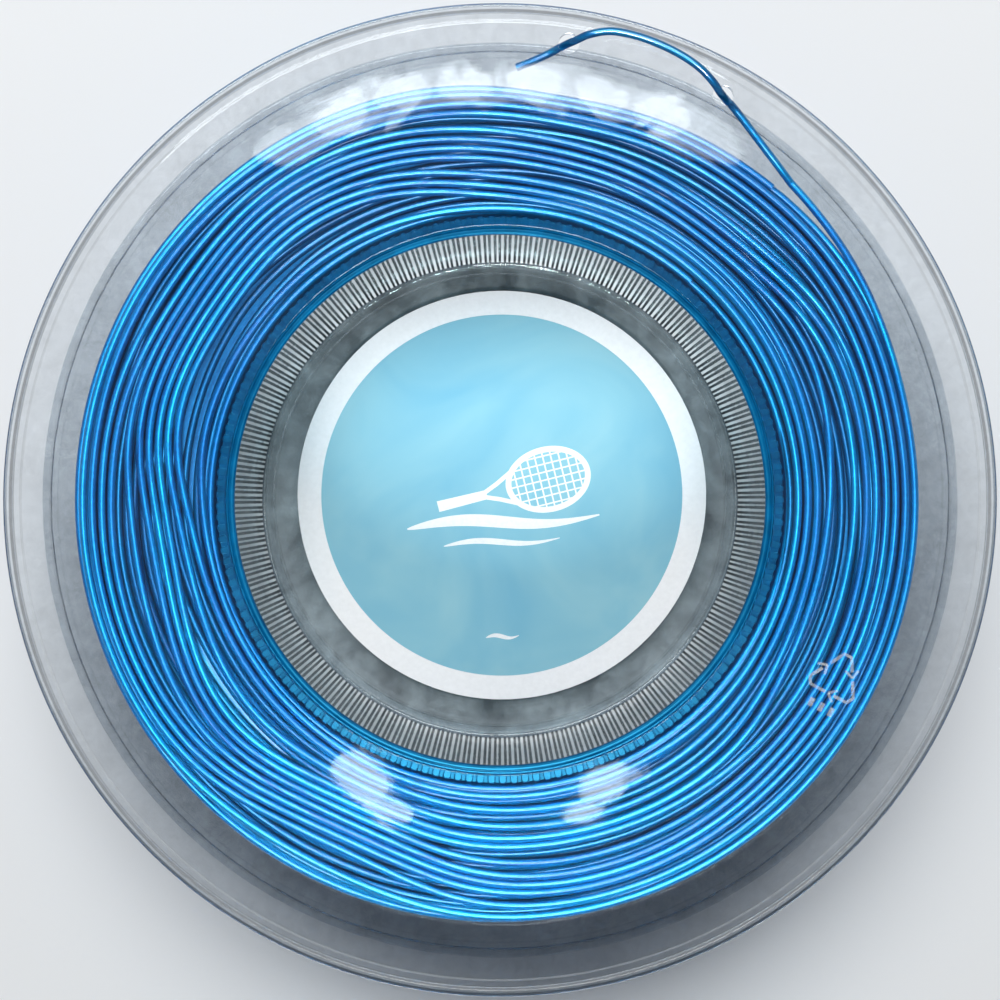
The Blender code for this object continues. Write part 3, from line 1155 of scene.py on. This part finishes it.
def panel(name, tilt, bearing, distance, size, radiance, colour=COOL_WHITE, shape="RECTANGLE"):
    """A soft panel that faces the reel, tilt degrees off the vertical at a bearing."""
    slope, turn = math.radians(tilt), math.radians(bearing)
    direction = Vector(
        (math.sin(slope) * math.sin(turn), math.sin(slope) * math.cos(turn), math.cos(slope))
    )
    target = Vector((0.0, 0.0, FRONT_FACE))
    power = radiance * math.pi * size[0] * size[1]
    if shape == "ELLIPSE":
        power *= math.pi / 4
    light = bpy.data.lights.new(name, "AREA")
    light.shape = shape
    light.size, light.size_y = size
    light.energy = power
    light.color = colour
    lamp = bpy.data.objects.new(name, light)
    lamp.location = target + distance * direction
    aim(lamp, target)
    bpy.context.scene.collection.objects.link(lamp)
    return lamp


def receivers(name, *starts):
    """A collection of the pieces whose names start so, for lamps that light nothing else."""
    lit = bpy.data.collections.new(name)
    for piece in bpy.data.objects:
        if piece.name.startswith(starts):
            lit.objects.link(piece)
    return lit


def cup_lamps():
    """Lamps for the cup only, which the winding round it would otherwise shade."""
    cup = receivers("lit_in_cup", "core_cup", "label_")
    for name, bearing, radiance in (
        ("cup_near", 184.0, 48.0),
        ("cup_right", 80.0, 5.6),
        ("cup_left", 272.0, 3.0),
    ):
        lamp = panel(name, 54.0, bearing, 0.9, (0.25, 0.25), radiance)
        lamp.light_linking.receiver_collection = cup


def near_side_lamps():
    """Lamps for the string only and for the core only, which make the bright arc on the near side."""
    string = receivers("lit_by_glow", "winding_", "string_end")
    chance = random.Random(3)
    for number in range(4):
        bearing = 163.0 + 14.5 * number
        size = (chance.uniform(0.12, 0.17), chance.uniform(0.09, 0.12))
        tilt = 8.7 + chance.uniform(-0.6, 0.6)
        lamp = panel(f"glow_{number}", tilt, bearing, MIRROR_DISTANCE, size, 46.0, COOL_WHITE, "ELLIPSE")
        lamp.light_linking.receiver_collection = string
    for number in range(3):
        bearing = 166.0 + 20.0 * number
        lamp = panel(
            f"near_arc_{number}", 9.0, bearing, MIRROR_DISTANCE, (0.04, 0.04), 34.0, COOL_WHITE, "ELLIPSE"
        )
        aim(lamp, on_bearing(46.0 * MM, bearing, FRONT_FACE))
        lamp.data.spread = math.radians(5.0)
        lamp.light_linking.receiver_collection = string
    core = receivers("lit_on_ribs", "core_cup")
    size, pale_cyan = (0.08, 0.022), (0.70, 0.97, 1.0)
    for number in range(4):
        bearing = 160.0 + 14.5 * number
        lamp = panel(f"rib_glow_{number}", 8.5, bearing, MIRROR_DISTANCE, size, 220.0, pale_cyan, "ELLIPSE")
        lamp.light_linking.receiver_collection = core


def make_world():
    """A studio whose light is strongest near the horizon and nearly dark overhead."""
    world = bpy.data.worlds.new("studio")
    world.use_nodes = True
    nodes, links = world.node_tree.nodes, world.node_tree.links
    background = nodes["Background"]
    background.inputs["Color"].default_value = (0.90, 0.95, 1.0, 1.0)
    place = nodes.new("ShaderNodeTexCoord")
    split = nodes.new("ShaderNodeSeparateXYZ")
    links.new(place.outputs["Generated"], split.inputs["Vector"])
    fade = nodes.new("ShaderNodeMapRange")
    links.new(split.outputs["Z"], fade.inputs["Value"])
    for socket, value in (("From Min", 0.15), ("From Max", 0.95), ("To Min", 0.44), ("To Max", 0.035)):
        fade.inputs[socket].default_value = value
    links.new(fade.outputs["Result"], background.inputs["Strength"])
    bpy.context.scene.world = world


def reflected_patches():
    """Small lamps that show as white patches in the front flange, on its near and its far side."""
    near_patches = (
        (207.0, 8.7, (0.026, 0.016)),
        (200.0, 9.3, (0.022, 0.009)),
        (159.0, 8.5, (0.024, 0.013)),
        (165.0, 9.1, (0.018, 0.008)),
    )
    for number, (bearing, tilt, size) in enumerate(near_patches):
        panel(f"near_patch_{number}", tilt, bearing, MIRROR_DISTANCE, size, 6.0, (0.88, 0.97, 1.0), "ELLIPSE")
    for number in range(7):
        bearing = -27.0 + 9.0 * number
        size = (0.050, 0.018)
        panel(f"far_patch_{number}", 11.7, bearing, MIRROR_DISTANCE, size, 3.6, (0.88, 0.95, 1.0), "ELLIPSE")


def make_lights():
    make_world()
    panel("north_panel", 28.0, -8.0, 1.0, (0.75, 0.42), 10.6)
    reflected_patches()
    cup_lamps()
    near_side_lamps()
    bpy.context.scene.view_settings.view_transform = "Standard"


def main():
    make_camera()
    blue = string_material("string_pearl_blue")
    # The same blue with painted shade, for the layers under the faces and the winding's plain body.
    deep = string_material("string_pearl_blue_painted_shade", 0.55)
    # The free end's blue with painted shade, fading out towards where it joins the winding.
    make_tail(string_material("string_end_blue", 0.62, (36.0 * MM, 45.5 * MM)))
    make_winding(blue, deep)
    # Thin rings of painted shade where the rounded rims bend the light away.
    rim_painted_shade_rings = (
        (RADIUS - 1.22 * MM, 0.30 * MM, 0.75),
        (RADIUS - 0.08 * MM, 0.12 * MM, 0.12),
        (RADIUS - LIP_STEP, 0.14 * MM, 0.25),
    )
    back_painted_shade_rings = (
        (RADIUS - 1.22 * MM, 0.20 * MM, 0.15),
        (RADIUS - LIP_STEP, 0.12 * MM, 0.15),
    )
    front_clear = clear_plastic(
        "flange_clear_styrene", (0.90, 0.93, 0.955), (0.0, 0.006), 60.0, rim_painted_shade_rings, 0.028 * MM
    )
    back_clear = clear_plastic(
        "back_flange_styrene", (0.86, 0.89, 0.915), (0.02, 0.18), 160.0, back_painted_shade_rings, mottle=0.24
    )
    # A smoky grey tint, made darker still as painted shade for the floor at the bottom of the deep cup.
    core_clear = clear_plastic("core_styrene_painted_shade", (0.56, 0.60, 0.63), (0.03, 0.30), 160.0, mottle=0.3)
    mark_clear = clear_plastic("mark_clear_styrene", (0.97, 0.98, 0.99), (0.10, 0.35), 900.0)
    make_back_flange(back_clear)
    ribs = rib_material()
    make_core(core_clear, wall_material(), ribs)
    make_front_flange(front_clear, ribs)
    make_moulded_mark(mark_clear)
    make_label(paper_material(), print_material(), ink_material())
    make_floor()
    make_lights()


main()
